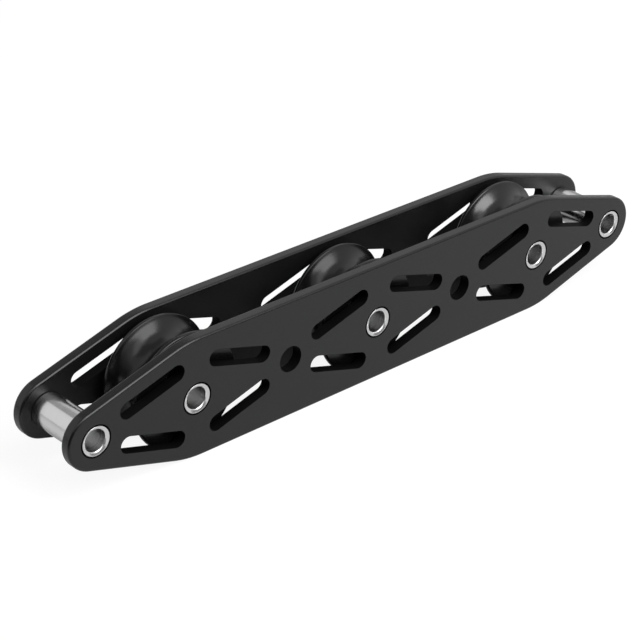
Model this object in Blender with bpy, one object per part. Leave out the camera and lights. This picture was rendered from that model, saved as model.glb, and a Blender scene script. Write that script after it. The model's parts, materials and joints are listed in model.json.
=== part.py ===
"""Triple block: three grooved sheaves in line between two slotted side plates.

The block stands on the long lower edges of its plates. Metres, +Z up, +X along the plates, and the sheaves
turn about Y. The origin is in the middle of the block, on the middle sheave's axis. The two plates are held
together by five hollow tubes, whose thinner ends pass through the plates and are flared in them: a spacer at
each end of the block, and an axle through each sheave. Each sheave turns on a sealed ball bearing.
"""

import math

import bmesh
import bpy

# Side plates
AXLE_PITCH = 0.110
END_REACH = 0.0555  # from an outer axle to the end spacer
PLATE_HEIGHT = 0.0602
PLATE_THICKNESS = 0.0057
PLATE_GAP = 0.0294  # clear width between the plates
END_RADIUS = 0.0145  # of the rounded plate end, about the end spacer
TAPER_START = 0.0049  # from an outer axle to where the taper's line meets the long edge's line
TAPER_CORNER_RADIUS = 0.0560
EDGE_ROUNDING = 0.0012
OPEN_HOLE_DIAMETER = 0.0128  # midway between two axles

# Slots, four round each axle, parallel to the taper
SLOT_WIDTH = 0.0082
SLOT_RAIL = 0.0070  # metal between a slot and the tapered edge
SLOT_TO_AXLE = 0.0112  # from its axle to the centre of a slot's near end, along X
SLOT_TO_HOLE = 0.0167  # from the open hole beyond it to the centre of a slot's far end
SLOT_TO_SPACER = 0.0172  # the same, from the end spacer

# Hollow tubes: end spacers and axles
TUBE_DIAMETER = 0.0170
SPIGOT_DIAMETER = 0.0148  # the thinner end, in the plate
TUBE_BORE = 0.0107
FLARE_DEPTH = 0.0010
FLARE_LIP = 0.0003  # flat rim round the flare's mouth

# Sheaves
SHEAVE_DIAMETER = 0.0578
SHEAVE_FRONT_GAP = 0.0015  # from the front plate to a sheave
SHEAVE_BACK_GAP = 0.0039  # from a sheave to the back plate
FLANGE_WIDTH = 0.0021  # of the rim beside the groove
SHEAVE_WEB = 0.0042  # metal between the bottom of the groove and the bearing's seat
RIM_ROUNDING = 0.0011
BEARING_LIP = 0.0014  # how far the lip in front of the bearing stands in from its seat

# Ball bearing in each sheave; its bore takes the axle tube
BEARING_DIAMETER = 0.0350
BEARING_WIDTH = 0.0100
BALL_COUNT = 9
BALL_SECTION_SHARE = 0.53  # a ball's diameter, of the height between bore and outside
SHOULDER_BALL_SHARE = 0.72  # a race shoulder's distance from the pitch circle, of the ball's radius
CAGE_BALL_SHARE = 0.38  # half the cage's wall, of the ball's radius
CAGE_FRONT_SHARE = 0.35  # the cage's prongs on the open side, of the ball's radius
SEAL_THICKNESS = 0.0006
SEAL_INSET = 0.0004  # from the bearing's side to the seal's face
COLLAR_WALL = 0.0022

# Fits
SEAT_GAP = 0.0003  # between two pieces that seat on or in each other

# How finely arcs are divided
ROUND_STEPS = 20  # tubes, holes and rings, which are divided alike so that their flats stay parallel
SHEAVE_STEPS = 32
END_ARC_STEPS = 6  # a quarter of the plate's end
CORNER_ARC_STEPS = 4
SLOT_ARC_STEPS = 4
ROUNDING_STEPS = 2
GROOVE_STEPS = 6
RACEWAY_STEPS = 3
CAGE_POCKET_STEPS = 6
BALL_STEPS = 2  # subdivision level of a ball, which is made from an icosahedron

# Sizes that follow from those above
SPACER_X = AXLE_PITCH + END_REACH
TAPER_X = AXLE_PITCH + TAPER_START
INNER_FACE = PLATE_GAP / 2
OUTER_FACE = INNER_FACE + PLATE_THICKNESS
TUBE_RADIUS = TUBE_DIAMETER / 2
SPIGOT_RADIUS = SPIGOT_DIAMETER / 2
BORE_RADIUS = TUBE_BORE / 2
SHEAVE_RADIUS = SHEAVE_DIAMETER / 2
SHEAVE_WIDTH = PLATE_GAP - SHEAVE_FRONT_GAP - SHEAVE_BACK_GAP
SHEAVE_Y = (SHEAVE_FRONT_GAP - SHEAVE_BACK_GAP) / 2  # middle of a sheave and of its bearing
BEARING_RADIUS = BEARING_DIAMETER / 2
BEARING_SEAT_RADIUS = BEARING_RADIUS + SEAT_GAP
GROOVE_DEPTH = SHEAVE_RADIUS - SHEAVE_WEB - BEARING_SEAT_RADIUS
SEAL_DISTANCE = BEARING_WIDTH / 2 - SEAL_INSET - SEAL_THICKNESS / 2  # from the bearing's middle to a seal's
BALL_PITCH_RADIUS = (TUBE_RADIUS + BEARING_RADIUS) / 2
BALL_RADIUS = BALL_SECTION_SHARE * (BEARING_RADIUS - TUBE_RADIUS) / 2
SHOULDER_DISTANCE = SHOULDER_BALL_SHARE * BALL_RADIUS
INNER_SHOULDER = BALL_PITCH_RADIUS - SHOULDER_DISTANCE
OUTER_SHOULDER = BALL_PITCH_RADIUS + SHOULDER_DISTANCE
AXLE_PLACES = (-AXLE_PITCH, 0, AXLE_PITCH)


def clear_scene():
    for obj in list(bpy.data.objects):
        bpy.data.objects.remove(obj, do_unlink=True)


def material(name, colour, roughness, metallic):
    made = bpy.data.materials.new(name)
    made.use_nodes = True
    shader = made.node_tree.nodes["Principled BSDF"]
    shader.inputs["Base Color"].default_value = (*colour, 1)
    shader.inputs["Roughness"].default_value = roughness
    shader.inputs["Metallic"].default_value = metallic
    return made


def add_object(name, mesh, finish, place=(0, 0, 0), parent=None):
    obj = bpy.data.objects.new(name, mesh)
    obj.location = place
    obj.parent = parent
    if not mesh.materials:
        mesh.materials.append(finish)
    bpy.context.scene.collection.objects.link(obj)
    return obj


def finished_mesh(name, shape):
    """Turns a bmesh into a mesh that faces out and is smooth over its round parts."""
    bmesh.ops.recalc_face_normals(shape, faces=shape.faces)
    mesh = bpy.data.meshes.new(name)
    shape.to_mesh(mesh)
    shape.free()
    mesh.shade_smooth()
    mesh.set_sharp_from_angle(angle=math.radians(35))
    return mesh


def arc(centre, radius, start, end, steps):
    """Points on an arc, in the plane of its centre, with both ends."""
    points = []
    for i in range(steps + 1):
        angle = start + (end - start) * i / steps
        points.append((centre[0] + radius * math.cos(angle), centre[1] + radius * math.sin(angle)))
    return points


def turned(name, profile, steps=ROUND_STEPS):
    """A ring turned about Y from a closed profile of (radius, y) points."""
    shape = bmesh.new()
    points = [shape.verts.new((radius, y, 0)) for radius, y in profile]
    edges = [shape.edges.new((a, b)) for a, b in zip(points, points[1:] + points[:1])]
    bmesh.ops.spin(
        shape,
        geom=points + edges,
        axis=(0, 1, 0),
        cent=(0, 0, 0),
        angle=math.tau,
        steps=steps,
        use_merge=True,
    )
    return finished_mesh(name, shape)


def taper_angle():
    """The slope of the tapered edge, which touches the end's arc and meets the long edge at TAPER_X."""
    along = SPACER_X - TAPER_X
    down = PLATE_HEIGHT / 2
    return math.atan2(down, along) - math.asin(END_RADIUS / math.hypot(along, down))


def plate_outline(inset):
    """The plate's edge in X and Z, moved in by inset: long edges, tapers, and a round end at each side."""
    slope = taper_angle()
    upright = math.pi / 2
    corner_x = TAPER_X - TAPER_CORNER_RADIUS * math.tan(slope / 2)
    corner_z = PLATE_HEIGHT / 2 - TAPER_CORNER_RADIUS
    corner_radius = TAPER_CORNER_RADIUS - inset
    quarter = arc((corner_x, corner_z), corner_radius, upright, upright - slope, CORNER_ARC_STEPS)
    quarter += arc((SPACER_X, 0), END_RADIUS - inset, upright - slope, 0, END_ARC_STEPS)
    right = quarter + [(x, -z) for x, z in reversed(quarter[:-1])]
    return right + [(-x, z) for x, z in reversed(right)]


def slot_outline(axle_x, side, level):
    """A slot beside an axle: side is -1 or 1 along X, level is -1 or 1 along Z."""
    slope = taper_angle()
    radius = SLOT_WIDTH / 2
    near = SLOT_TO_AXLE
    far = END_REACH - SLOT_TO_SPACER if axle_x * side > 0 else AXLE_PITCH / 2 - SLOT_TO_HOLE
    rail_end_height = PLATE_HEIGHT / 2 - (SLOT_RAIL + radius) / math.cos(slope)
    near_height = rail_end_height - math.tan(slope) * (near - TAPER_START)
    far_height = rail_end_height - math.tan(slope) * (far - TAPER_START)
    upright = math.pi / 2
    points = arc((near, near_height), radius, upright - slope, 3 * upright - slope, SLOT_ARC_STEPS)
    points += arc((far, far_height), radius, -upright - slope, upright - slope, SLOT_ARC_STEPS)
    return [(axle_x + side * x, level * z) for x, z in points]


def plate_holes():
    """Every opening in a plate: tube seats, open holes and slots."""
    seat_radius = SPIGOT_RADIUS + SEAT_GAP
    holes = []
    for x in (-SPACER_X, *AXLE_PLACES, SPACER_X):
        holes.append(arc((x, 0), seat_radius, 0, math.tau, ROUND_STEPS)[:-1])
    for x in (-AXLE_PITCH / 2, AXLE_PITCH / 2):
        holes.append(arc((x, 0), OPEN_HOLE_DIAMETER / 2, 0, math.tau, ROUND_STEPS)[:-1])
    for x in AXLE_PLACES:
        holes += [slot_outline(x, side, level) for side in (-1, 1) for level in (-1, 1)]
    return holes


def loop_at(shape, outline, y):
    """The points and edges of a closed outline at one place along Y."""
    points = [shape.verts.new((x, y, z)) for x, z in outline]
    return points, [shape.edges.new((a, b)) for a, b in zip(points, points[1:] + points[:1])]


def wall_between(shape, first, second):
    """Faces that join two closed loops of as many points."""
    for i, corner in enumerate(first):
        shape.faces.new((first[i - 1], corner, second[i], second[i - 1]))


def side_plate_mesh():
    """One plate, centred on its own mid-plane, with rounded outer edges."""
    shape = bmesh.new()
    half = PLATE_THICKNESS / 2
    layers = []
    for i in range(ROUNDING_STEPS + 1):
        turn = math.pi / 2 * i / ROUNDING_STEPS
        inset = EDGE_ROUNDING * (1 - math.sin(turn))
        layers.append((inset, half - EDGE_ROUNDING * (1 - math.cos(turn))))
    layers += [(inset, -y) for inset, y in reversed(layers)]
    loops = [loop_at(shape, plate_outline(inset), y) for inset, y in layers]
    for first, second in zip(loops, loops[1:]):
        wall_between(shape, first[0], second[0])
    faces_edges = [list(loops[0][1]), list(loops[-1][1])]
    for outline in plate_holes():
        first = loop_at(shape, outline, half)
        second = loop_at(shape, outline, -half)
        wall_between(shape, first[0], second[0])
        faces_edges[0] += first[1]
        faces_edges[1] += second[1]
    for edges in faces_edges:
        bmesh.ops.triangle_fill(shape, use_beauty=True, edges=edges)
    return finished_mesh("side_plate", shape)


def tube_mesh():
    """A shouldered tube: its shoulders meet the plates, and its flared ends lie flush with their faces."""
    shoulder = INNER_FACE - SEAT_GAP
    half = [
        (TUBE_RADIUS, shoulder),
        (SPIGOT_RADIUS, shoulder),
        (SPIGOT_RADIUS, OUTER_FACE),
        (SPIGOT_RADIUS - FLARE_LIP, OUTER_FACE),
        (BORE_RADIUS, OUTER_FACE - FLARE_DEPTH),
    ]
    return turned("tube", half + [(radius, -y) for radius, y in reversed(half)])


def sheave_mesh():
    """A sheave with a round groove, and a bearing seat that is open at the back and lipped in front."""
    groove_half = SHEAVE_WIDTH / 2 - FLANGE_WIDTH
    groove_radius = (groove_half**2 + GROOVE_DEPTH**2) / (2 * GROOVE_DEPTH)
    groove_centre = (SHEAVE_RADIUS - GROOVE_DEPTH + groove_radius, 0)
    groove_turn = math.asin(min(1, groove_half / groove_radius))
    side = SHEAVE_WIDTH / 2
    lip_radius = BEARING_SEAT_RADIUS - BEARING_LIP
    seat_end = BEARING_WIDTH / 2 + SEAT_GAP
    rounding_centre = SHEAVE_RADIUS - RIM_ROUNDING
    upright = math.pi / 2
    front = [(lip_radius, -side)]
    front += arc((rounding_centre, RIM_ROUNDING - side), RIM_ROUNDING, -upright, 0, ROUNDING_STEPS)
    back = arc((rounding_centre, side - RIM_ROUNDING), RIM_ROUNDING, 0, upright, ROUNDING_STEPS)
    groove = arc(groove_centre, groove_radius, math.pi + groove_turn, math.pi - groove_turn, GROOVE_STEPS)
    seat = [(BEARING_SEAT_RADIUS, side), (BEARING_SEAT_RADIUS, -seat_end), (lip_radius, -seat_end)]
    return turned("sheave", front + groove + back + seat, SHEAVE_STEPS)


def race_mesh(name, seat, shoulder, inward):
    """A bearing race: inward is 1 where its raceway faces the axle, -1 where it faces out."""
    half = BEARING_WIDTH / 2
    raceway_radius = BALL_RADIUS + SEAT_GAP
    turn = math.acos(SHOULDER_DISTANCE / raceway_radius)
    middle = 0 if inward > 0 else math.pi
    raceway = arc((BALL_PITCH_RADIUS, 0), raceway_radius, middle - turn, middle + turn, RACEWAY_STEPS)
    raceway = raceway if inward > 0 else list(reversed(raceway))
    return turned(name, [(seat, half), (seat, -half), (shoulder, -half), *raceway, (shoulder, half)])


def ring_mesh(name, inner, outer, near, far):
    """A plain ring between two radii and two places along Y."""
    return turned(name, [(inner, near), (outer, near), (outer, far), (inner, far)])


def cage_mesh():
    """A crown cage: a ring behind the balls, and prongs that leave each ball's pocket open in front."""
    shape = bmesh.new()
    wall = CAGE_BALL_SHARE * BALL_RADIUS
    back = SEAL_DISTANCE - SEAL_THICKNESS / 2 - SEAT_GAP
    front = -CAGE_FRONT_SHARE * BALL_RADIUS
    pocket = BALL_RADIUS + SEAT_GAP
    mouth = math.asin((pocket + SEAT_GAP) / BALL_PITCH_RADIUS)
    rim = []
    for ball in range(BALL_COUNT):
        ball_angle = math.tau * ball / BALL_COUNT
        rim.append((ball_angle - mouth, front))
        for along, y in arc((0, 0), pocket, math.pi, 0, CAGE_POCKET_STEPS):
            rim.append((ball_angle + math.asin(along / BALL_PITCH_RADIUS), y))
        rim.append((ball_angle + mouth, front))
    rings = []
    for radius in (BALL_PITCH_RADIUS - wall, BALL_PITCH_RADIUS + wall):
        for edge_y in (None, back):
            ring = []
            for angle, y in rim:
                height = y if edge_y is None else edge_y
                ring.append(shape.verts.new((radius * math.cos(angle), height, -radius * math.sin(angle))))
            rings.append(ring)
    inner_front, inner_back, outer_front, outer_back = rings
    wall_between(shape, inner_front, inner_back)
    wall_between(shape, inner_back, outer_back)
    wall_between(shape, outer_back, outer_front)
    wall_between(shape, outer_front, inner_front)
    return finished_mesh("bearing_cage", shape)


def ball_mesh():
    shape = bmesh.new()
    bmesh.ops.create_icosphere(shape, subdivisions=BALL_STEPS, radius=BALL_RADIUS)
    return finished_mesh("ball", shape)


def axis_empty(name, x):
    """An empty in a sheave's middle, which the pieces that turn together hang from."""
    empty = bpy.data.objects.new(name, None)
    empty.location = (x, SHEAVE_Y, 0)
    empty.empty_display_size = TUBE_RADIUS
    bpy.context.scene.collection.objects.link(empty)
    return empty


def add_plates(black):
    mesh = side_plate_mesh()
    middle = (INNER_FACE + OUTER_FACE) / 2
    add_object("side_plate_front", mesh, black, (0, -middle, 0))
    add_object("side_plate_back", mesh, black, (0, middle, 0))


def add_tubes(steel):
    mesh = tube_mesh()
    add_object("end_spacer_left", mesh, steel, (-SPACER_X, 0, 0))
    add_object("end_spacer_right", mesh, steel, (SPACER_X, 0, 0))
    for number, x in enumerate(AXLE_PLACES, 1):
        add_object(f"axle_tube_{number}", mesh, steel, (x, 0, 0))


def add_sheaves(black, steel, nylon, rubber):
    """Each sheave with its bearing, and the collars that hold the bearing in its place along the axle."""
    side = BEARING_WIDTH / 2
    bore = TUBE_RADIUS + SEAT_GAP
    half_seal = SEAL_THICKNESS / 2
    seal_radii = (INNER_SHOULDER + SEAT_GAP, OUTER_SHOULDER - SEAT_GAP)
    collar_radii = (bore, bore + COLLAR_WALL)
    collar_end = INNER_FACE - SEAT_GAP
    meshes = {
        "sheave": sheave_mesh(),
        "outer_race": race_mesh("bearing_outer_race", BEARING_RADIUS, OUTER_SHOULDER, 1),
        "inner_race": race_mesh("bearing_inner_race", bore, INNER_SHOULDER, -1),
        "cage": cage_mesh(),
        "ball": ball_mesh(),
        "seal": ring_mesh("bearing_seal", *seal_radii, -half_seal, half_seal),
        "collar_front": ring_mesh("collar_front", *collar_radii, -collar_end, SHEAVE_Y - side - SEAT_GAP),
        "collar_back": ring_mesh("collar_back", *collar_radii, SHEAVE_Y + side + SEAT_GAP, collar_end),
    }
    for number, x in enumerate(AXLE_PLACES, 1):
        turning = axis_empty(f"sheave_axis_{number}", x)
        orbiting = axis_empty(f"cage_axis_{number}", x)
        add_object(f"sheave_{number}", meshes["sheave"], black, parent=turning)
        add_object(f"bearing_outer_race_{number}", meshes["outer_race"], steel, parent=turning)
        add_object(f"bearing_seal_front_{number}", meshes["seal"], rubber, (0, -SEAL_DISTANCE, 0), turning)
        add_object(f"bearing_seal_back_{number}", meshes["seal"], rubber, (0, SEAL_DISTANCE, 0), turning)
        add_object(f"bearing_cage_{number}", meshes["cage"], nylon, parent=orbiting)
        for ball in range(BALL_COUNT):
            angle = math.tau * ball / BALL_COUNT
            place = (BALL_PITCH_RADIUS * math.cos(angle), 0, -BALL_PITCH_RADIUS * math.sin(angle))
            add_object(f"ball_{number}_{ball + 1}", meshes["ball"], steel, place, orbiting)
        add_object(f"bearing_inner_race_{number}", meshes["inner_race"], steel, (x, SHEAVE_Y, 0))
        add_object(f"axle_collar_front_{number}", meshes["collar_front"], steel, (x, 0, 0))
        add_object(f"axle_collar_back_{number}", meshes["collar_back"], steel, (x, 0, 0))


def main():
    clear_scene()
    anodised = material("black_anodised_aluminium", (0.045, 0.045, 0.047), 0.42, 0.6)
    moulded = material("black_sheave", (0.03, 0.03, 0.032), 0.35, 0.0)
    steel = material("polished_steel", (0.72, 0.72, 0.72), 0.2, 1.0)
    nylon = material("cage_nylon", (0.75, 0.68, 0.52), 0.6, 0.0)
    rubber = material("seal_rubber", (0.02, 0.02, 0.02), 0.8, 0.0)
    add_plates(anodised)
    add_tubes(steel)
    add_sheaves(moulded, steel, nylon, rubber)


main()
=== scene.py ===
"""Finished surfaces of an in-line triple block, laid out as a Blender add-on and run as a script.

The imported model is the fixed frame: its nodes give the sizes and places, and each operator below
makes one group of pieces round it. Metres, +Z up, +X along the side plates, and the sheaves turn
about Y.
"""

import json
import math

import bmesh
import bpy
from bpy.props import FloatProperty, FloatVectorProperty, IntProperty, PointerProperty
from mathutils import Matrix, Vector


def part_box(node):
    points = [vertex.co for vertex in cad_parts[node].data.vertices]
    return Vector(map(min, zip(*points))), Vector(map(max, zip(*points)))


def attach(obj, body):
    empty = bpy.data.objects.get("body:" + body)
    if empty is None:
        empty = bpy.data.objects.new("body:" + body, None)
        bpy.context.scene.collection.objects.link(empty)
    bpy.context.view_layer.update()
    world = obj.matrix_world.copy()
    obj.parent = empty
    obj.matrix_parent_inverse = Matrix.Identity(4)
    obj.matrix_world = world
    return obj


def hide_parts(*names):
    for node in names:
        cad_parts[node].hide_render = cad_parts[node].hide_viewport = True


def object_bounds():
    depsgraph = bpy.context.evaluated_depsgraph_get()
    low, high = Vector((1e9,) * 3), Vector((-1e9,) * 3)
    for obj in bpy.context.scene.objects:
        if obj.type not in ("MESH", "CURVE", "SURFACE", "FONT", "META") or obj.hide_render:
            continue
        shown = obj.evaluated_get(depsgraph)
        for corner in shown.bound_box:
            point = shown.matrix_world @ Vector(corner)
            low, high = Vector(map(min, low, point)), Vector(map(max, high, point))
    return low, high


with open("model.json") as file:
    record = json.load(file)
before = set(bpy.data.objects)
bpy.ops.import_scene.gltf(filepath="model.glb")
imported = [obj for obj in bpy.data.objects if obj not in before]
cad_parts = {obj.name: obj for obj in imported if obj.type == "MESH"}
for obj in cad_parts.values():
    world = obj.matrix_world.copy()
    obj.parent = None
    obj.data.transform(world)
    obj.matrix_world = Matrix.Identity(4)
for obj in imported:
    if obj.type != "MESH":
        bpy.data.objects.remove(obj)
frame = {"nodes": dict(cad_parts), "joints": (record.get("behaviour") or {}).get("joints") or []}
CAD_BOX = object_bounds()

bl_info = {
    "name": "Triple block",
    "version": (1, 0, 0),
    "blender": (4, 5, 0),
    "location": "3D View > Sidebar > Block",
    "description": "Side plates, hollow tubes, sheaves and bearings of an in-line triple block",
    "category": "Add Mesh",
}

# Places and sizes that the frame gives
PLATE_LOW, PLATE_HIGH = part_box("side_plate_front")
SPACER_LOW, SPACER_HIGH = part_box("end_spacer_right")
SHEAVE_LOW, SHEAVE_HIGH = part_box("sheave_2")
OUTER_RACE_LOW, OUTER_RACE_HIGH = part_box("bearing_outer_race_2")
INNER_RACE_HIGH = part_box("bearing_inner_race_2")[1]
SEAL_LOW, SEAL_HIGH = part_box("bearing_seal_back_2")
CAGE_LOW, CAGE_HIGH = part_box("bearing_cage_2")
BALL_LOW, BALL_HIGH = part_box("ball_2_1")
SPACER_X = (SPACER_LOW.x + SPACER_HIGH.x) / 2
AXLES = sorted({joint["pos_m"][0] for joint in frame["joints"]})
OUTER_FACE = -PLATE_LOW.y
INNER_FACE = -PLATE_HIGH.y
PLATE_TOP = PLATE_HIGH.z
END_RADIUS = PLATE_HIGH.x - SPACER_X
TUBE_RADIUS = SPACER_HIGH.z
SHEAVE_RADIUS = SHEAVE_HIGH.z
SHEAVE_Y = (SHEAVE_LOW.y + SHEAVE_HIGH.y) / 2
SHEAVE_HALF = SHEAVE_HIGH.y - SHEAVE_Y
BEARING_HALF = (OUTER_RACE_HIGH.y - OUTER_RACE_LOW.y) / 2
BALL_RADIUS = (BALL_HIGH.z - BALL_LOW.z) / 2
BALL_PITCH_RADIUS = BALL_HIGH.x - BALL_RADIUS
BALL_COUNT = sum(name.startswith("ball_2_") for name in frame["nodes"])

# Radii along the fine edges of turned pieces, in metres
SHOULDER_EASING = 0.00025
SPIGOT_ROOT_EASING = 0.0001
SPIGOT_END_EASING = 0.00012
FLARE_MOUTH_EASING = 0.00008
LIP_EASING = 0.0003
SEAT_MOUTH_EASING = 0.0004
SEAT_ROOT_EASING = 0.0002
RACEWAY_EDGE_EASING = 0.00015
SEAL_EASING = 0.0002
SEAL_BORE_EASING = 0.0001

# How deep the marks of each finish are, in metres
BLASTED_PITS = 0.00002
MOULDED_GRAIN = 0.000015
SHEAVE_MARKS = 0.00001
GROUND_RINGS = 0.000006
POLISHED_RINGS = 0.000004

# A turned surface's bands against its rings, and what hands do to the roughness of a finish, as
# shares of its range
BAND_FINENESS = 0.12
RUBBED_SMOOTHING = 0.35
HAIRLINE_ROUGHENING = 0.5

# Edges between faces that meet at more than this stay sharp
SHARP_ANGLE = math.radians(40)

# The floor's tone, how much lighter gloss shows it and how much it glows there, and its glow
# for the camera, which rises with the distance from the block
FLOOR_TONE = 0.15
FLOOR_LIGHTER_IN_GLOSS = 5.2
FLOOR_GLOW_IN_GLOSS = 0.17
FLOOR_GLOW = {"From_Min": 0.4, "From_Max": 1.5, "To_Min": 0.90, "To_Max": 0.96}

# How bright the world is as light, and where it is seen
WORLD_LIGHT = 0.25
WORLD_SEEN = 1.0

# Width of the camera's sensor, in millimetres
SENSOR_WIDTH = 36

# Softboxes, and painted reflections: cards that glow at a set strength and show only in gloss. A
# direction is a bearing from +Y towards +X and a height over the floor, both in degrees; distances
# and sizes are in metres, and power in watts
SOFTBOXES = {
    "front_softbox": {"direction": (168, 45), "distance": 1.35, "size": (0.8, 1.3), "power": 17.5},
    "fill_softbox": {"direction": (225, 60), "distance": 1.5, "size": (1.0, 0.8), "power": 4.0},
    "sheave_3_softbox": {
        "direction": (165, 45),
        "distance": 1.3,
        "size": (0.75, 1.2),
        "power": 20.0,
        "only": "grooved_sheave_3",
    },
}
PAINTED_REFLECTIONS = {
    "back_flag": {"direction": (8, 55), "distance": 1.3, "size": (0.8, 0.75), "painted_glow": 0.42},
    "left_flag": {"direction": (245, 17), "distance": 1.2, "size": (1.9, 0.55), "painted_glow": 0.45},
    "high_flag": {"direction": (298, 64), "distance": 1.3, "size": (1.0, 0.75), "painted_glow": 0.5},
    "right_flag": {"direction": (57, 8), "distance": 0.6, "size": (0.5, 0.23), "painted_glow": 0.42},
    "low_flag": {"direction": (247, 3), "distance": 0.252, "size": (0.24, 0.09), "painted_glow": 0.15},
    "front_flag": {"direction": (170, 3.4), "distance": 0.305, "size": (0.5, 0.1), "painted_glow": 0.3},
    "far_flag": {"direction": (42, 25), "distance": 1.2, "size": (0.9, 0.5), "painted_glow": 0.8},
}


class BlockPlateSettings(bpy.types.PropertyGroup):
    """Sizes and finish of the side plates."""

    taper_start: FloatProperty(
        name="Taper start",
        description="From an outer axle to where the taper's line meets the long edge's line",
        default=0.0049,
        unit="LENGTH",
    )
    corner_radius: FloatProperty(
        name="Corner radius",
        description="Radius of the corner between a long edge and a taper",
        default=0.0560,
        unit="LENGTH",
    )
    edge_rounding: FloatProperty(
        name="Edge rounding",
        description="Radius along the outer edges of a plate",
        default=0.0012,
        unit="LENGTH",
    )
    hole_easing: FloatProperty(
        name="Hole easing",
        description="Radius along the edges of slots and open holes",
        default=0.0001,
        unit="LENGTH",
    )
    open_hole: FloatProperty(
        name="Open hole",
        description="Diameter of the two open holes midway between axles",
        default=0.0128,
        unit="LENGTH",
    )
    slot_width: FloatProperty(
        name="Slot width",
        description="Width of a slot",
        default=0.0082,
        unit="LENGTH",
    )
    slot_rail: FloatProperty(
        name="Slot rail",
        description="Metal between a slot and the tapered edge",
        default=0.0070,
        unit="LENGTH",
    )
    slot_to_axle: FloatProperty(
        name="Slot to axle",
        description="From an axle to the centre of a slot's near end",
        default=0.0112,
        unit="LENGTH",
    )
    slot_to_hole: FloatProperty(
        name="Slot to hole",
        description="From an open hole to the centre of a slot's far end",
        default=0.0167,
        unit="LENGTH",
    )
    slot_to_spacer: FloatProperty(
        name="Slot to spacer",
        description="From an end spacer to the centre of a slot's far end",
        default=0.0172,
        unit="LENGTH",
    )
    colour: FloatVectorProperty(
        name="Colour",
        description="Satin black of the anodised plates",
        default=(0.0028, 0.0028, 0.0029),
        subtype="COLOR",
        min=0,
        max=1,
    )


class BlockTubeSettings(bpy.types.PropertyGroup):
    """Sizes and finish of the end spacers and axles."""

    spigot: FloatProperty(
        name="Spigot",
        description="Diameter of a tube's thinner end, in the plate",
        default=0.0143,
        unit="LENGTH",
    )
    tube_hole: FloatProperty(
        name="Tube hole",
        description="Diameter of the hole in a plate that holds a tube's end",
        default=0.0158,
        unit="LENGTH",
    )
    bore: FloatProperty(
        name="Bore",
        description="Inner diameter of a tube",
        default=0.0107,
        unit="LENGTH",
    )
    flare_depth: FloatProperty(
        name="Flare depth",
        description="How far the flare reaches into the bore",
        default=0.0006,
        unit="LENGTH",
    )
    flare_lip: FloatProperty(
        name="Flare lip",
        description="Flat rim round the flare's mouth",
        default=0.0003,
        unit="LENGTH",
    )
    flare_curve: FloatProperty(
        name="Flare curve",
        description="Radius where the flare runs into the bore",
        default=0.0008,
        unit="LENGTH",
    )
    fitting_gap: FloatProperty(
        name="Fitting gap",
        description="Gap between two pieces that sit on or in each other",
        default=0.0003,
        unit="LENGTH",
    )
    tube_hole_easing: FloatProperty(
        name="Tube hole easing",
        description="Radius along the edges of the holes that hold the tubes",
        default=0.00008,
        unit="LENGTH",
    )
    colour: FloatVectorProperty(
        name="Colour",
        description="Polished stainless steel",
        default=(0.56, 0.56, 0.56),
        subtype="COLOR",
        min=0,
        max=1,
    )
    bore_colour: FloatVectorProperty(
        name="Bore colour",
        description="Honed stainless steel inside the tubes",
        default=(0.68, 0.68, 0.68),
        subtype="COLOR",
        min=0,
        max=1,
    )


class BlockSheaveSettings(bpy.types.PropertyGroup):
    """Sizes and finish of the sheaves."""

    flange: FloatProperty(
        name="Flange",
        description="Width of the rim beside the groove",
        default=0.0021,
        unit="LENGTH",
    )
    web: FloatProperty(
        name="Web",
        description="Metal between the bottom of the groove and the bearing's seat",
        default=0.0042,
        unit="LENGTH",
    )
    rim_rounding: FloatProperty(
        name="Rim rounding",
        description="Radius along a sheave's outer edges",
        default=0.0011,
        unit="LENGTH",
    )
    groove_easing: FloatProperty(
        name="Groove easing",
        description="Radius where the groove meets the rim",
        default=0.0005,
        unit="LENGTH",
    )
    bearing_lip: FloatProperty(
        name="Bearing lip",
        description="How far the lip in front of the bearing stands in from its seat",
        default=0.0014,
        unit="LENGTH",
    )
    colour: FloatVectorProperty(
        name="Colour",
        description="Semi-gloss black of the sheaves",
        default=(0.0035, 0.0035, 0.0037),
        subtype="COLOR",
        min=0,
        max=1,
    )


class BlockBearingSettings(bpy.types.PropertyGroup):
    """Sizes and finish of the ball bearings and their collars."""

    chamfer: FloatProperty(
        name="Chamfer",
        description="Radius along the corners of races and collars",
        default=0.0004,
        unit="LENGTH",
    )
    raceway_gap: FloatProperty(
        name="Raceway gap",
        description="Gap between a ball and what it runs in",
        default=0.0003,
        unit="LENGTH",
    )
    steel: FloatVectorProperty(
        name="Steel",
        description="Ground bearing steel",
        default=(0.56, 0.56, 0.57),
        subtype="COLOR",
        min=0,
        max=1,
    )
    nylon: FloatVectorProperty(
        name="Nylon",
        description="Natural nylon of the cages",
        default=(0.72, 0.65, 0.50),
        subtype="COLOR",
        min=0,
        max=1,
    )
    rubber: FloatVectorProperty(
        name="Rubber",
        description="Black rubber of the seals",
        default=(0.016, 0.016, 0.017),
        subtype="COLOR",
        min=0,
        max=1,
    )


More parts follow.
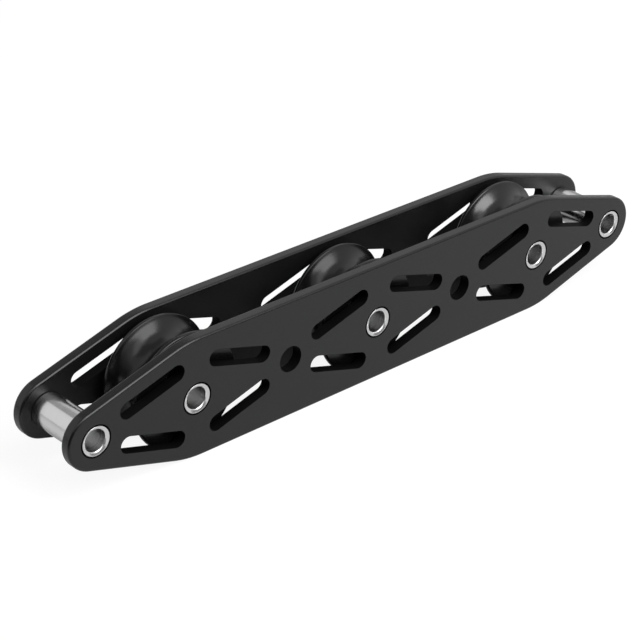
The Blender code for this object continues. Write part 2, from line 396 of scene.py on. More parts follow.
class BlockStageSettings(bpy.types.PropertyGroup):
    """Camera, lamps and floor."""

    azimuth: FloatProperty(
        name="Azimuth",
        description="Direction of view round the block, where 0 looks along +Y",
        default=math.radians(-43.03),
        subtype="ANGLE",
    )
    elevation: FloatProperty(
        name="Elevation",
        description="How far the camera looks down",
        default=math.radians(28.46),
        subtype="ANGLE",
    )
    roll: FloatProperty(
        name="Roll",
        description="Turn of the camera about its own line of sight",
        default=math.radians(1.51),
        subtype="ANGLE",
    )
    distance: FloatProperty(
        name="Distance",
        description="From the camera to the point that it looks at",
        default=1.0038,
        unit="LENGTH",
    )
    target: FloatVectorProperty(
        name="Target",
        description="Point that the camera looks at",
        default=(-0.01830, 0.0, -0.00099),
        subtype="TRANSLATION",
    )
    lens: FloatProperty(
        name="Lens",
        description="Focal length in millimetres on a 36 mm sensor",
        default=119.41,
    )
    floor_size: FloatProperty(
        name="Floor size",
        description="Side of the square floor",
        default=12.0,
        unit="LENGTH",
    )
    round_steps: IntProperty(
        name="Round steps",
        description="Divisions round a turned piece",
        default=144,
    )


# Outlines and profiles, as points in a plane


def arc(centre, radius, start, end, steps):
    """Points on an arc, with both ends."""
    points = []
    for i in range(steps + 1):
        angle = start + (end - start) * i / steps
        points.append((centre[0] + radius * math.cos(angle), centre[1] + radius * math.sin(angle)))
    return points


def eased(corners, steps=6):
    """A closed outline of (across, along, radius) corners, each rounded to its radius."""
    points = []
    for i, (across, along, radius) in enumerate(corners):
        corner = Vector((across, along))
        if not radius:
            points.append(corner)
            continue
        before = (Vector(corners[i - 1][:2]) - corner).normalized()
        after = (Vector(corners[(i + 1) % len(corners)][:2]) - corner).normalized()
        half = before.angle(after) / 2
        centre = corner + (before + after).normalized() * radius / math.sin(half)
        spokes = [corner + side * radius / math.tan(half) - centre for side in (before, after)]
        start, end = [math.atan2(spoke.y, spoke.x) for spoke in spokes]
        turn = (end - start + math.pi) % math.tau - math.pi
        points += arc(centre, radius, start, start + turn, steps)
    return [tuple(point) for point in points]


def mirrored(half):
    """A closed profile from the corners of its half at +Y."""
    return half + [(radius, -y, easing) for radius, y, easing in reversed(half)]


def taper_angle(plate):
    """The angle between a taper and the long edge."""
    along = SPACER_X - AXLES[-1] - plate.taper_start
    return math.atan2(PLATE_TOP, along) - math.asin(END_RADIUS / math.hypot(along, PLATE_TOP))


def plate_outline(plate, inset):
    """The plate's edge, moved in by inset: long edges, tapers, and a round end at each side."""
    slope = taper_angle(plate)
    upright = math.pi / 2
    corner_x = AXLES[-1] + plate.taper_start - plate.corner_radius * math.tan(slope / 2)
    corner = (corner_x, PLATE_TOP - plate.corner_radius)
    quarter = arc(corner, plate.corner_radius - inset, upright, upright - slope, steps=16)
    quarter += arc((SPACER_X, 0), END_RADIUS - inset, upright - slope, 0, steps=28)
    right = quarter + [(x, -z) for x, z in reversed(quarter[:-1])]
    return right + [(-x, z) for x, z in reversed(right)]


def slot_outline(plate, axle_x, side, level, growth):
    """A slot beside an axle, wider by growth; side and level are -1 or 1 along X and Z."""
    slope = taper_angle(plate)
    radius = plate.slot_width / 2
    near = plate.slot_to_axle
    half_pitch = (AXLES[1] - AXLES[0]) / 2
    outward = axle_x * side > 0
    to_spacer = SPACER_X - AXLES[-1] - plate.slot_to_spacer
    far = to_spacer if outward else half_pitch - plate.slot_to_hole
    rail_end = PLATE_TOP - (plate.slot_rail + radius) / math.cos(slope)
    ends = [(x, rail_end - math.tan(slope) * (x - plate.taper_start)) for x in (near, far)]
    upright = math.pi / 2
    points = arc(ends[0], radius + growth, upright - slope, 3 * upright - slope, steps=20)
    points += arc(ends[1], radius + growth, -upright - slope, upright - slope, steps=20)
    return [(axle_x + side * x, level * z) for x, z in points]


def round_hole(x, radius):
    """A round hole's outline, without its first point again at the end."""
    return arc((x, 0), radius, 0, math.tau, steps=72)[:-1]


def tube_holes(tube, growth):
    """The holes that hold the tubes' ends, wider by growth all round."""
    return [round_hole(x, tube.tube_hole / 2 + growth) for x in (-SPACER_X, *AXLES, SPACER_X)]


def plate_holes(plate, growth):
    """The open holes and slots of a plate, wider by growth all round."""
    middles = [(first + second) / 2 for first, second in zip(AXLES, AXLES[1:])]
    holes = [round_hole(x, plate.open_hole / 2 + growth) for x in middles]
    for x in AXLES:
        for side in (-1, 1):
            holes += [slot_outline(plate, x, side, level, growth) for level in (-1, 1)]
    return holes


# Meshes


def mesh_of(name, shape):
    """A mesh that is shaded smooth, apart from its sharp edges; the bmesh is freed."""
    bmesh.ops.recalc_face_normals(shape, faces=shape.faces)
    mesh = bpy.data.meshes.new(name)
    shape.to_mesh(mesh)
    shape.free()
    mesh.shade_smooth()
    mesh.set_sharp_from_angle(angle=SHARP_ANGLE)
    return mesh


def wall_between(shape, first, second):
    """Faces that join two closed loops of as many points."""
    corners = zip(first[-1:] + first[:-1], first, second, second[-1:] + second[:-1])
    return [shape.faces.new(four) for four in corners]


def turned(name, profile, steps):
    """A piece turned about Y from a closed profile of (radius, y) points."""
    shape = bmesh.new()
    turns = [math.tau * i / steps for i in range(steps)]
    rings = []
    for radius, y in profile:
        places = [(radius * math.cos(turn), y, -radius * math.sin(turn)) for turn in turns]
        rings.append([shape.verts.new(place) for place in places])
    for first, second in zip(rings, rings[1:] + rings[:1]):
        wall_between(shape, first, second)
    return mesh_of(name, shape)


def plate_mesh(plate, tube, middle, steps=6):
    """A plate with rounded outer edges and eased holes.

    Its materials are those of its face, of the milled walls and of its inner face, in this order.
    """
    shape = bmesh.new()
    half = (OUTER_FACE - INNER_FACE) / 2

    def layers(radius):
        """Pairs of inset and height through the plate that round both its edges to a radius."""
        front = []
        for i in range(steps + 1):
            turn = math.pi / 2 * i / steps
            front.append((radius * (1 - math.sin(turn)), half - radius * (1 - math.cos(turn))))
        return front + [(inset, -y) for inset, y in reversed(front)]

    def skin(outlines, heights, wall=0):
        """Walls between outlines at their heights; wall is the number of their material."""
        loops = []
        for outline, y in zip(outlines, heights):
            loops.append([shape.verts.new((x, y + middle, z)) for x, z in outline])
        for first, second in zip(loops, loops[1:]):
            for face in wall_between(shape, first, second):
                face.material_index = wall
        for i, loop in enumerate((loops[0], loops[-1])):
            rims[i].extend(shape.edges.get(pair) for pair in zip(loop, loop[1:] + loop[:1]))

    rims = ([], [])
    edge = layers(plate.edge_rounding)
    skin([plate_outline(plate, inset) for inset, y in edge], [y for inset, y in edge])
    cuts = ((plate.hole_easing, plate_holes, plate), (tube.tube_hole_easing, tube_holes, tube))
    for radius, holes, settings in cuts:
        easing = layers(radius)
        grown = [holes(settings, inset) for inset, y in easing]
        for outlines in zip(*grown):
            skin(outlines, [y for inset, y in easing], wall=1)
    for rim, way in zip(rims, (1, -1)):
        for face in bmesh.ops.triangle_fill(shape, use_beauty=True, edges=rim)["geom"]:
            if isinstance(face, bmesh.types.BMFace) and middle * way < 0:
                face.material_index = 2
    return mesh_of("side_plate", shape)


def tube_profile(tube):
    """A shouldered tube, flared at its ends."""
    shoulder = INNER_FACE - tube.fitting_gap
    spigot = tube.spigot / 2
    half = [
        (TUBE_RADIUS, shoulder, SHOULDER_EASING),
        (spigot, shoulder, SPIGOT_ROOT_EASING),
        (spigot, OUTER_FACE, SPIGOT_END_EASING),
        (spigot - tube.flare_lip, OUTER_FACE, FLARE_MOUTH_EASING),
        (tube.bore / 2, OUTER_FACE - tube.flare_depth, tube.flare_curve),
    ]
    return eased(mirrored(half))


def sheave_profile(sheave, bearing):
    """A sheave with a round groove; its bearing's seat is open at the back and lipped in front."""
    side = SHEAVE_HALF
    seat = OUTER_RACE_HIGH.z + bearing.raceway_gap
    lip = seat - sheave.bearing_lip
    seat_end = BEARING_HALF + bearing.raceway_gap
    half = side - sheave.flange
    depth = SHEAVE_RADIUS - sheave.web - seat
    groove_radius = (half**2 + depth**2) / (2 * depth)
    turn = math.asin(half / groove_radius)
    centre = (SHEAVE_RADIUS - depth + groove_radius, 0)
    groove = arc(centre, groove_radius, math.pi + turn, math.pi - turn, steps=40)
    room_for_easing = slice(2, -2)
    return eased([
        (lip, -side, LIP_EASING),
        (SHEAVE_RADIUS, -side, sheave.rim_rounding),
        (SHEAVE_RADIUS, -half, sheave.groove_easing),
        *[(radius, y, 0) for radius, y in groove[room_for_easing]],
        (SHEAVE_RADIUS, half, sheave.groove_easing),
        (SHEAVE_RADIUS, side, sheave.rim_rounding),
        (seat, side, SEAT_MOUTH_EASING),
        (seat, -seat_end, SEAT_ROOT_EASING),
        (lip, -seat_end, LIP_EASING),
    ])


# Materials


def node(tree, kind, settings=None, **inputs):
    """Adds a shader node; settings are its own values, and inputs its sockets by name."""
    made = tree.nodes.new(kind)
    for name, value in (settings or {}).items():
        setattr(made, name, value)
    for name, value in inputs.items():
        socket = made.inputs[name.replace("_", " ")]
        if isinstance(value, bpy.types.NodeSocket):
            tree.links.new(value, socket)
        else:
            socket.default_value = value
    return made


def maths(tree, operation, first, second=0.0):
    """A Math node's result."""
    made = tree.nodes.new("ShaderNodeMath")
    made.operation = operation
    for socket, value in zip(made.inputs, (first, second)):
        if isinstance(value, bpy.types.NodeSocket):
            tree.links.new(value, socket)
        else:
            socket.default_value = value
    return made.outputs[0]


def group_with(name, inputs, outputs):
    """An empty shader node group: its tree, its input node and its output node."""
    tree = bpy.data.node_groups.new(name, "ShaderNodeTree")
    for label, kind, value in inputs:
        socket = tree.interface.new_socket(label, in_out="INPUT", socket_type=kind)
        if value is not None:
            socket.default_value = value
    for label, kind in outputs:
        tree.interface.new_socket(label, in_out="OUTPUT", socket_type=kind)
    return tree, tree.nodes.new("NodeGroupInput"), tree.nodes.new("NodeGroupOutput")


def blasted_grain_group():
    """Fine pits of a blasted surface, and the broad cloudiness of its finish."""
    inputs = [("Vector", "NodeSocketVector", None), ("Grain", "NodeSocketFloat", 5000.0)]
    inputs += [("Clouds", "NodeSocketFloat", 60.0)]
    outputs = [("Pits", "NodeSocketFloat"), ("Clouds", "NodeSocketFloat")]
    tree, source, result = group_with("blasted_grain", inputs, outputs)
    place = source.outputs["Vector"]
    for label, scale, detail in (("Pits", "Grain", 3.0), ("Clouds", "Clouds", 4.0)):
        size = source.outputs[scale]
        noise = node(tree, "ShaderNodeTexNoise", Vector=place, Scale=size, Detail=detail)
        tree.links.new(noise.outputs["Fac"], result.inputs[label])
    return tree


def turning_marks_group():
    """Fine rings that a lathe leaves, which follow the radius about Y and the place along it."""
    inputs = [("Vector", "NodeSocketVector", None), ("Fineness", "NodeSocketFloat", 9000.0)]
    outputs = [("Rings", "NodeSocketFloat"), ("Bands", "NodeSocketFloat")]
    tree, source, result = group_with("turning_marks", inputs, outputs)
    parts = node(tree, "ShaderNodeSeparateXYZ", Vector=source.outputs["Vector"])
    across = maths(tree, "MULTIPLY", parts.outputs["X"], parts.outputs["X"])
    upward = maths(tree, "MULTIPLY", parts.outputs["Z"], parts.outputs["Z"])
    radius = maths(tree, "SQRT", maths(tree, "ADD", across, upward))
    flat = node(tree, "ShaderNodeCombineXYZ", X=radius, Y=parts.outputs["Y"]).outputs["Vector"]
    fine = source.outputs["Fineness"]
    coarse = maths(tree, "MULTIPLY", fine, BAND_FINENESS)
    for label, scale in (("Rings", fine), ("Bands", coarse)):
        plane = {"noise_dimensions": "2D"}
        noise = node(tree, "ShaderNodeTexNoise", plane, Vector=flat, Scale=scale, Detail=2.0)
        tree.links.new(noise.outputs["Fac"], result.inputs[label])
    return tree


def handling_group():
    """Faint rubbed patches and hairlines that a handled surface gathers."""
    inputs = [("Vector", "NodeSocketVector", None), ("Patches", "NodeSocketFloat", 45.0)]
    outputs = [("Rubbed", "NodeSocketFloat"), ("Hairlines", "NodeSocketFloat")]
    tree, source, result = group_with("handling", inputs, outputs)
    place = source.outputs["Vector"]
    size = source.outputs["Patches"]
    patches = node(tree, "ShaderNodeTexNoise", Vector=place, Scale=size, Detail=5.0)
    slant = {"Rotation": (0.3, 0.5, 0.2), "Scale": (60.0, 60.0, 2600.0)}
    along = node(tree, "ShaderNodeMapping", Vector=place, **slant).outputs["Vector"]
    lines = node(tree, "ShaderNodeTexNoise", Vector=along, Scale=1.0, Detail=2.0)
    masks = (("Rubbed", patches, 0.45, 0.75), ("Hairlines", lines, 0.68, 0.80))
    for label, noise, low, high in masks:
        fac = noise.outputs["Fac"]
        mask = node(tree, "ShaderNodeMapRange", Value=fac, From_Min=low, From_Max=high)
        tree.links.new(mask.outputs["Result"], result.inputs[label])
    return tree


def placed(tree, name, make, place, **values):
    """A node that holds the shared group of that name, made the first time that it is asked for."""
    made = tree.nodes.new("ShaderNodeGroup")
    made.node_tree = bpy.data.node_groups.get(name) or make()
    tree.links.new(place, made.inputs["Vector"])
    for label, value in values.items():
        made.inputs[label].default_value = value
    return made.outputs


def blank_material(name, **values):
    """A material with plain values on its shader, and its tree, shader and Object coordinates."""
    made = bpy.data.materials.new(name)
    made.use_nodes = True
    tree = made.node_tree
    shader = tree.nodes["Principled BSDF"]
    for label, value in values.items():
        shader.inputs[label.replace("_", " ")].default_value = value
    place = tree.nodes.new("ShaderNodeTexCoord").outputs["Object"]
    return made, tree, shader, place


def roughen(tree, shader, fac, roughness):
    """Takes a shader's roughness from the first value to the second as fac goes from 0 to 1."""
    low, high = roughness
    spread = node(tree, "ShaderNodeMapRange", Value=fac, To_Min=low, To_Max=high)
    tree.links.new(spread.outputs["Result"], shader.inputs["Roughness"])


def tint(tree, shader, fac, colour, lighter):
    """Colours a shader, lighter times as bright where fac is 1 as where it is 0."""
    mix = node(tree, "ShaderNodeMix", {"data_type": "RGBA"}, Factor=fac)
    dark, light = [socket for socket in mix.inputs if socket.type == "RGBA"]
    dark.default_value = (*colour, 1)
    light.default_value = (*[min(1, part * lighter) for part in colour], 1)
    result = next(socket for socket in mix.outputs if socket.type == "RGBA")
    tree.links.new(result, shader.inputs["Base Color"])


def emboss(tree, shader, height, depth):
    """Bumps a shader's surface by a texture's height, where a height of 1 stands up by depth."""
    bump = node(tree, "ShaderNodeBump", Height=height, Distance=depth, Strength=1.0)
    tree.links.new(bump.outputs["Normal"], shader.inputs["Normal"])


def anodised_plate_material(name, colour, roughness):
    """Satin black hard anodising over a blasted surface, smoother where it is rubbed."""
    made, tree, shader, place = blank_material(name, Metallic=0.0, Specular_IOR_Level=0.36)
    grain = placed(tree, "blasted_grain", blasted_grain_group, place, Grain=4200.0, Clouds=38.0)
    hands = placed(tree, "handling", handling_group, place, Patches=30.0)
    tint(tree, shader, grain["Clouds"], colour, lighter=1.5)
    smoothed = maths(tree, "MULTIPLY", hands["Rubbed"], RUBBED_SMOOTHING)
    roughen(tree, shader, maths(tree, "SUBTRACT", grain["Clouds"], smoothed), roughness)
    emboss(tree, shader, grain["Pits"], BLASTED_PITS)
    return made


def milled_wall_material(colour):
    """Dull black of the walls that a cutter leaves in slots and holes."""
    made, tree, shader, place = blank_material("milled_wall", Metallic=0.0, Specular_IOR_Level=0.02)
    grain = placed(tree, "blasted_grain", blasted_grain_group, place, Grain=3000.0, Clouds=90.0)
    tint(tree, shader, grain["Clouds"], colour, lighter=1.8)
    roughen(tree, shader, grain["Clouds"], (0.40, 0.60))
    emboss(tree, shader, grain["Pits"], BLASTED_PITS)
    return made


def polished_steel_material(name, colour, roughness):
    """Turned and polished stainless steel, with faint rings and hairlines."""
    made, tree, shader, place = blank_material(name, Metallic=1.0)
    marks = placed(tree, "turning_marks", turning_marks_group, place, Fineness=7000.0)
    hands = placed(tree, "handling", handling_group, place, Patches=60.0)
    tint(tree, shader, marks["Bands"], colour, lighter=1.08)
    scratched = maths(tree, "MULTIPLY", hands["Hairlines"], HAIRLINE_ROUGHENING)
    roughen(tree, shader, maths(tree, "ADD", marks["Bands"], scratched), roughness)
    emboss(tree, shader, marks["Rings"], POLISHED_RINGS)
    return made


def sheave_material(colour):
    """Semi-gloss black anodising over a turned surface."""
    made, tree, shader, place = blank_material("black_sheave", Metallic=0.0, Specular_IOR_Level=0.3)
    marks = placed(tree, "turning_marks", turning_marks_group, place, Fineness=4000.0)
    grain = placed(tree, "blasted_grain", blasted_grain_group, place, Grain=2600.0, Clouds=70.0)
    tint(tree, shader, grain["Clouds"], colour, lighter=1.6)
    mean = maths(tree, "MULTIPLY", maths(tree, "ADD", marks["Bands"], grain["Clouds"]), 0.5)
    roughen(tree, shader, mean, (0.15, 0.28))
    emboss(tree, shader, maths(tree, "ADD", marks["Rings"], grain["Pits"]), SHEAVE_MARKS)
    return made


def turned_steel_material(name, colour, roughness, fineness):
    """Ground or turned steel of the bearings and collars, with rings as fine as fineness."""
    made, tree, shader, place = blank_material(name, Metallic=1.0)
    marks = placed(tree, "turning_marks", turning_marks_group, place, Fineness=fineness)
    tint(tree, shader, marks["Bands"], colour, lighter=1.12)
    roughen(tree, shader, marks["Bands"], roughness)
    emboss(tree, shader, marks["Rings"], GROUND_RINGS)
    return made


def moulded_material(name, colour, roughness, fineness, specular):
    """Moulded rubber or nylon, with a grain as fine as fineness."""
    made, tree, shader, place = blank_material(name, Metallic=0.0, Specular_IOR_Level=specular)
    grain = placed(tree, "blasted_grain", blasted_grain_group, place, Grain=fineness, Clouds=120.0)
    tint(tree, shader, grain["Clouds"], colour, lighter=1.25)
    roughen(tree, shader, grain["Clouds"], roughness)
    emboss(tree, shader, grain["Pits"], MOULDED_GRAIN)
    return made


# Pieces


def add_piece(name, mesh, materials, body, replaced, place=(0, 0, 0), turn=0):
    """Puts a finished piece in the place of a node, and lets it move with that node's body."""
    piece = bpy.data.objects.new(name, mesh)
    piece.location = place
    piece.rotation_euler.z = turn
    if not mesh.materials:
        for material in materials:
            mesh.materials.append(material)
    bpy.context.scene.collection.objects.link(piece)
    evened = piece.modifiers.new("even_shading", "WEIGHTED_NORMAL")
    evened.keep_sharp = True
    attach(piece, body)
    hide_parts(replaced)
    return piece


class BLOCK_OT_side_plates(bpy.types.Operator):
    """Make the two slotted side plates"""

    bl_idname = "block.side_plates"
    bl_label = "Side plates"

    def execute(self, context):
        scene = context.scene
        colour = scene.block_plate.colour
        materials = [
            anodised_plate_material("anodised_plate", colour, (0.20, 0.27)),
            milled_wall_material(colour),
            anodised_plate_material("anodised_inner_face", colour, (0.36, 0.46)),
        ]
        middle = (OUTER_FACE + INNER_FACE) / 2
        for side, y in (("front", -middle), ("back", middle)):
            mesh = plate_mesh(scene.block_plate, scene.block_tube, y)
            name = f"side_plate_{side}"
            add_piece(f"slotted_plate_{side}", mesh, materials, "frame", name)
        return {"FINISHED"}


class BLOCK_OT_tubes(bpy.types.Operator):
    """Make the hollow end spacers and axles"""

    bl_idname = "block.tubes"
    bl_label = "Spacers and axles"

    def execute(self, context):
        scene = context.scene
        tube = scene.block_tube
        materials = [
            polished_steel_material("polished_steel", tube.colour, (0.13, 0.24)),
            polished_steel_material("honed_bore", tube.bore_colour, (0.20, 0.30)),
        ]
        mesh = turned("flared_tube", tube_profile(tube), scene.block_stage.round_steps)
        # The bore is honed, and so is the foot of each flare
        honed_radius = tube.bore / 2 + tube.flare_lip
        for face in mesh.polygons:
            face.material_index = int(math.hypot(face.center.x, face.center.z) < honed_radius)
        places = {"end_spacer_left": -SPACER_X, "end_spacer_right": SPACER_X}
        places.update({f"axle_tube_{number}": x for number, x in enumerate(AXLES, 1)})
        for name, x in places.items():
            add_piece(f"flared_{name}", mesh, materials, "frame", name, (x, 0, 0))
        return {"FINISHED"}


class BLOCK_OT_sheaves(bpy.types.Operator):
    """Make the three grooved sheaves"""

    bl_idname = "block.sheaves"
    bl_label = "Sheaves"

    def execute(self, context):
        scene = context.scene
        material = sheave_material(scene.block_sheave.colour)
        profile = sheave_profile(scene.block_sheave, scene.block_bearing)
        mesh = turned("grooved_sheave", profile, scene.block_stage.round_steps)
        for number, x in enumerate(AXLES, 1):
            body = f"sheave_{number}_turning"
            name = f"sheave_{number}"
            add_piece(f"grooved_{name}", mesh, [material], body, name, (x, SHEAVE_Y, 0))
        return {"FINISHED"}


class BLOCK_OT_races(bpy.types.Operator):
    """Make the races, seals and collars"""

    bl_idname = "block.races"
    bl_label = "Races, seals and collars"

    def execute(self, context):
        scene = context.scene
        bearing = scene.block_bearing
        steel = turned_steel_material("ground_steel", bearing.steel, (0.16, 0.26), 9000.0)
        dull_steel = turned_steel_material("turned_collar", bearing.steel, (0.24, 0.36), 5000.0)
        rubber = moulded_material("seal_rubber", bearing.rubber, (0.55, 0.75), 3000.0, specular=0.4)
        steps = scene.block_stage.round_steps
        gap = scene.block_tube.fitting_gap
        bore = TUBE_RADIUS + gap
        race = {
            "outer_race": self.race_mesh("outer_race", bearing, OUTER_RACE_HIGH.z, 1, steps),
            "inner_race": self.race_mesh("inner_race", bearing, bore, -1, steps),
        }
        seal = self.seal_mesh(INNER_RACE_HIGH.z + gap, steps)
        faces = {"front": -1, "back": 1}
        collar = {face: self.collar_mesh(face, bore, bearing.chamfer, steps) for face in faces}
        seal_distance = (SEAL_HIGH.y + SEAL_LOW.y) / 2 - SHEAVE_Y
        for number, x in enumerate(AXLES, 1):
            turning = f"sheave_{number}_turning"
            place = (x, SHEAVE_Y, 0)
            for part, body in (("outer_race", turning), ("inner_race", "frame")):
                made = f"ground_{part}_{number}"
                name = f"bearing_{part}_{number}"
                add_piece(made, race[part], [steel], body, name, place)
            for face, way in faces.items():
                name = f"bearing_seal_{face}_{number}"
                made = f"ribbed_seal_{face}_{number}"
                place = (x, SHEAVE_Y + way * seal_distance, 0)
                turn = 0 if way > 0 else math.pi
                add_piece(made, seal, [rubber], turning, name, place, turn)
                name = f"axle_collar_{face}_{number}"
                made = f"turned_collar_{face}_{number}"
                place = (x, 0, 0)
                add_piece(made, collar[face], [dull_steel], "frame", name, place)
        return {"FINISHED"}

    def seal_mesh(self, inner, steps):
        """A seal that is flat on the side of the balls, and has a shallow dip on its outer side."""
        half = (SEAL_HIGH.y - SEAL_LOW.y) / 2
        outer = SEAL_HIGH.z
        ridge = (outer - inner) / 4
        dip_edge = ridge * 1.5
        floor = half / 3
        corners = [
            (inner, -half, SEAL_BORE_EASING),
            (inner, half, SEAL_EASING),
            (inner + ridge, half, SEAL_EASING),
            (inner + dip_edge, floor, SEAL_EASING),
            (outer - dip_edge, floor, SEAL_EASING),
            (outer - ridge, half, SEAL_EASING),
            (outer, half, SEAL_EASING),
            (outer, -half, SEAL_BORE_EASING),
        ]
        return turned("bearing_seal", eased(corners, steps=4), steps)

    def collar_mesh(self, face, bore, chamfer, steps):
        """A plain ring between an inner race and a plate."""
        low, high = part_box(f"axle_collar_{face}_2")
        corners = [(bore, low.y, chamfer / 2), (high.z, low.y, chamfer)]
        corners += [(high.z, high.y, chamfer), (bore, high.y, chamfer / 2)]
        return turned(f"axle_collar_{face}", eased(corners, steps=5), steps)

    def race_mesh(self, name, bearing, seat, inward, steps):
        """A race with its raceway; inward is 1 where that faces the axle, -1 where it faces out."""
        side = BEARING_HALF
        shoulder = SEAL_HIGH.z + bearing.raceway_gap if inward > 0 else INNER_RACE_HIGH.z
        run = BALL_RADIUS + bearing.raceway_gap
        turn = math.acos(min(1, abs(shoulder - BALL_PITCH_RADIUS) / run))
        middle = 0 if inward > 0 else math.pi
        raceway = arc((BALL_PITCH_RADIUS, 0), run, middle - turn, middle + turn, steps=16)
        raceway = raceway if inward > 0 else raceway[::-1]
        corners = [
            (seat, side, bearing.chamfer),
            (seat, -side, bearing.chamfer),
            (shoulder, -side, RACEWAY_EDGE_EASING),
            *[(radius, y, 0) for radius, y in raceway],
            (shoulder, side, RACEWAY_EDGE_EASING),
        ]
        return turned(name, eased(corners, steps=5), steps)


class BLOCK_OT_balls_and_cages(bpy.types.Operator):
    """Make the balls and the crown cages that carry them"""

    bl_idname = "block.balls_and_cages"
    bl_label = "Balls and cages"

    def execute(self, context):
        bearing = context.scene.block_bearing
        steel = turned_steel_material("ball_steel", bearing.steel, (0.05, 0.10), 12000.0)
        nylon = moulded_material("cage_nylon", bearing.nylon, (0.45, 0.60), 2500.0, specular=0.5)
        ball = self.ball_mesh()
        cage = self.cage_mesh(bearing)
        for number, x in enumerate(AXLES, 1):
            body = f"cage_{number}_turning"
            made = f"crown_cage_{number}"
            name = f"bearing_cage_{number}"
            add_piece(made, cage, [nylon], body, name, (x, SHEAVE_Y, 0))
            for count in range(1, BALL_COUNT + 1):
                name = f"ball_{number}_{count}"
                made = f"steel_{name}"
                low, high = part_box(name)
                place = (low + high) / 2
                piece = add_piece(made, ball, [steel], body, name, place)
                # A ball is the same all round, so its shading needs no evening
                piece.modifiers.clear()
        return {"FINISHED"}

    def ball_mesh(self):
        """A ball of many even triangles."""
        shape = bmesh.new()
        bmesh.ops.create_icosphere(shape, subdivisions=4, radius=BALL_RADIUS)
        return mesh_of("bearing_ball", shape)

    def cage_mesh(self, bearing):
        """A ring behind the balls, and prongs that leave each ball's pocket open in front."""
        shape = bmesh.new()
        low, high = CAGE_LOW.y - SHEAVE_Y, CAGE_HIGH.y - SHEAVE_Y
        wall = CAGE_HIGH.z - BALL_PITCH_RADIUS
        pocket = BALL_RADIUS + bearing.raceway_gap
        mouth = math.asin((pocket + bearing.raceway_gap) / BALL_PITCH_RADIUS)
        rim = []
        for count in range(BALL_COUNT):
            middle = math.tau * count / BALL_COUNT
            rim.append((middle - mouth, low))
            for along, y in arc((0, 0), pocket, math.pi, 0, steps=24):
                rim.append((middle + math.asin(along / BALL_PITCH_RADIUS), y))
            rim.append((middle + mouth, low))
        loops = []
        for inset, level in ((-wall, None), (-wall, high), (wall, high), (wall, None)):
            reach = BALL_PITCH_RADIUS + inset
            loop = []
            for angle, rim_y in rim:
                y = rim_y if level is None else level
                place = (reach * math.cos(angle), y, -reach * math.sin(angle))
                loop.append(shape.verts.new(place))
            loops.append(loop)
        for first, second in zip(loops, loops[1:] + loops[:1]):
            wall_between(shape, first, second)
        return mesh_of("crown_cage", shape)


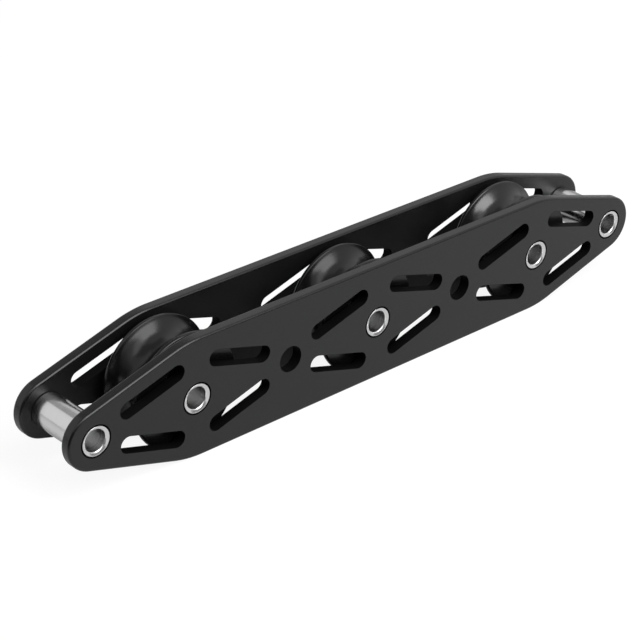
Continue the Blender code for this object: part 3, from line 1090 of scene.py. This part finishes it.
class BLOCK_OT_stage(bpy.types.Operator):
    """Set up the floor, the lamps and the camera"""

    bl_idname = "block.stage"
    bl_label = "Stage"

    def execute(self, context):
        scene = context.scene
        stage = scene.block_stage
        scene.view_settings.view_transform = "Standard"
        self.add_world(scene)
        self.add_floor(scene, stage)
        for name, softbox in SOFTBOXES.items():
            self.add_softbox(scene, name, **softbox)
        for name, painted_reflection in PAINTED_REFLECTIONS.items():
            self.add_painted_reflection(scene, name, **painted_reflection)
        self.add_camera(scene, stage)
        return {"FINISHED"}

    def seen_directly(self, tree):
        """1 for rays that show the background: from the camera, off gloss or through glass."""
        path = tree.nodes.new("ShaderNodeLightPath")
        seen = maths(tree, "MAXIMUM", path.outputs["Is Camera Ray"], path.outputs["Is Glossy Ray"])
        return maths(tree, "MAXIMUM", seen, path.outputs["Is Transmission Ray"])

    def add_world(self, scene):
        """A world that is white where it is seen, and dimmer as light."""
        world = bpy.data.worlds.new("white_studio")
        world.use_nodes = True
        tree = world.node_tree
        background = tree.nodes["Background"]
        background.inputs["Color"].default_value = (1, 1, 1, 1)
        seen = self.seen_directly(tree)
        ends = {"To_Min": WORLD_LIGHT, "To_Max": WORLD_SEEN}
        strength = node(tree, "ShaderNodeMapRange", Value=seen, **ends)
        tree.links.new(strength.outputs["Result"], background.inputs["Strength"])
        scene.world = world

    def add_floor(self, scene, stage):
        """A floor that keeps a soft share of the shadow, and runs out into pure white."""
        shape = bmesh.new()
        bmesh.ops.create_grid(shape, x_segments=1, y_segments=1, size=stage.floor_size / 2)
        floor = bpy.data.objects.new("floor", mesh_of("floor", shape))
        floor.location.z = CAD_BOX[0].z
        matt = {"Roughness": 1.0, "Specular_IOR_Level": 0.0}
        made, tree, shader, place = blank_material("white_floor", **matt)
        path = tree.nodes.new("ShaderNodeLightPath").outputs
        tint(tree, shader, path["Is Glossy Ray"], [FLOOR_TONE] * 3, FLOOR_LIGHTER_IN_GLOSS)
        shader.inputs["Emission Color"].default_value = (1, 1, 1, 1)
        clear = maths(tree, "MAXIMUM", path["Is Camera Ray"], path["Is Transmission Ray"])
        reach = node(tree, "ShaderNodeVectorMath", {"operation": "LENGTH"}, Vector=place)
        level = node(tree, "ShaderNodeMapRange", Value=reach.outputs["Value"], **FLOOR_GLOW)
        glow = maths(tree, "MULTIPLY", clear, level.outputs["Result"])
        gloss = maths(tree, "MULTIPLY", path["Is Glossy Ray"], FLOOR_GLOW_IN_GLOSS)
        tree.links.new(maths(tree, "ADD", glow, gloss), shader.inputs["Emission Strength"])
        floor.data.materials.append(made)
        scene.collection.objects.link(floor)

    def aim(self, scene, piece, direction, distance):
        """Stands a piece off the block in a direction, facing it."""
        bearing, height = [math.radians(angle) for angle in direction]
        level = Vector((math.sin(bearing), math.cos(bearing), 0)) * math.cos(height)
        piece.location = (level + Vector((0, 0, math.sin(height)))) * distance
        piece.rotation_euler = (-piece.location).to_track_quat("-Z", "Y").to_euler()
        scene.collection.objects.link(piece)

    def add_softbox(self, scene, name, direction, distance, size, power, only=None):
        """A rectangular lamp that lights the block, or only one piece of it where that is named."""
        light = bpy.data.lights.new(name, "AREA")
        light.shape = "RECTANGLE"
        light.size, light.size_y = size
        light.energy = power
        lamp = bpy.data.objects.new(name, light)
        if only:
            lamp.light_linking.receiver_collection = bpy.data.collections.new(f"lit_by_{name}")
            lamp.light_linking.receiver_collection.objects.link(bpy.data.objects[only])
        self.aim(scene, lamp, direction, distance)

    def add_painted_reflection(self, scene, name, direction, distance, size, painted_glow):
        """A painted reflection: a card that glows at a set strength and shows only in gloss, giving
        no light and casting no shadow.
        """
        shape = bmesh.new()
        stretch = Matrix.Diagonal((*size, 1, 1))
        bmesh.ops.create_grid(shape, x_segments=1, y_segments=1, size=0.5, matrix=stretch)
        painted_reflection = bpy.data.objects.new(name, mesh_of(name, shape))
        made, _, shader, _ = blank_material(name, Roughness=1.0, Specular_IOR_Level=0.0)
        shader.inputs["Base Color"].default_value = (0, 0, 0, 1)
        shader.inputs["Emission Color"].default_value = (1, 1, 1, 1)
        shader.inputs["Emission Strength"].default_value = painted_glow
        painted_reflection.data.materials.append(made)
        # Only gloss sees this glowing card, so what it shows is a painted reflection
        painted_reflection.visible_camera = painted_reflection.visible_diffuse = painted_reflection.visible_shadow = False
        self.aim(scene, painted_reflection, direction, distance)

    def add_camera(self, scene, stage):
        """The photograph's view, from the stage's settings."""
        camera = bpy.data.objects.new("camera", bpy.data.cameras.new("camera"))
        camera.data.lens = stage.lens
        camera.data.sensor_width = SENSOR_WIDTH
        azimuth, elevation = stage.azimuth, stage.elevation
        ahead = Vector((-math.sin(azimuth), math.cos(azimuth), 0)) * math.cos(elevation)
        ahead.z = -math.sin(elevation)
        right = Vector((math.cos(azimuth), math.sin(azimuth), 0))
        up = right.cross(ahead)
        turned_right = right * math.cos(stage.roll) + up * math.sin(stage.roll)
        turned_up = up * math.cos(stage.roll) - right * math.sin(stage.roll)
        turn = Matrix((turned_right, turned_up, -ahead)).transposed()
        place = Vector(stage.target) - ahead * stage.distance
        camera.matrix_world = Matrix.Translation(place) @ turn.to_4x4()
        scene.collection.objects.link(camera)
        scene.camera = camera


class BLOCK_PT_pieces(bpy.types.Panel):
    """The block's pieces, in the order in which they are made"""

    bl_label = "Triple block"
    bl_idname = "BLOCK_PT_pieces"
    bl_space_type = "VIEW_3D"
    bl_region_type = "UI"
    bl_category = "Block"

    def draw(self, context):
        for operator in OPERATORS:
            self.layout.operator(operator.bl_idname)
        for name in SETTINGS:
            box = self.layout.box()
            settings = getattr(context.scene, name)
            for key in settings.__annotations__:
                box.prop(settings, key)


SETTINGS = {
    "block_plate": BlockPlateSettings,
    "block_tube": BlockTubeSettings,
    "block_sheave": BlockSheaveSettings,
    "block_bearing": BlockBearingSettings,
    "block_stage": BlockStageSettings,
}
OPERATORS = (
    BLOCK_OT_side_plates,
    BLOCK_OT_tubes,
    BLOCK_OT_sheaves,
    BLOCK_OT_races,
    BLOCK_OT_balls_and_cages,
    BLOCK_OT_stage,
)


def register():
    for made in (*SETTINGS.values(), *OPERATORS, BLOCK_PT_pieces):
        bpy.utils.register_class(made)
    for name, settings in SETTINGS.items():
        setattr(bpy.types.Scene, name, PointerProperty(type=settings))


def unregister():
    for name in SETTINGS:
        delattr(bpy.types.Scene, name)
    for made in reversed((*SETTINGS.values(), *OPERATORS, BLOCK_PT_pieces)):
        bpy.utils.unregister_class(made)


def main():
    register()
    bpy.ops.block.side_plates()
    bpy.ops.block.tubes()
    bpy.ops.block.sheaves()
    bpy.ops.block.races()
    bpy.ops.block.balls_and_cages()
    bpy.ops.block.stage()


if __name__ == "__main__":
    main()
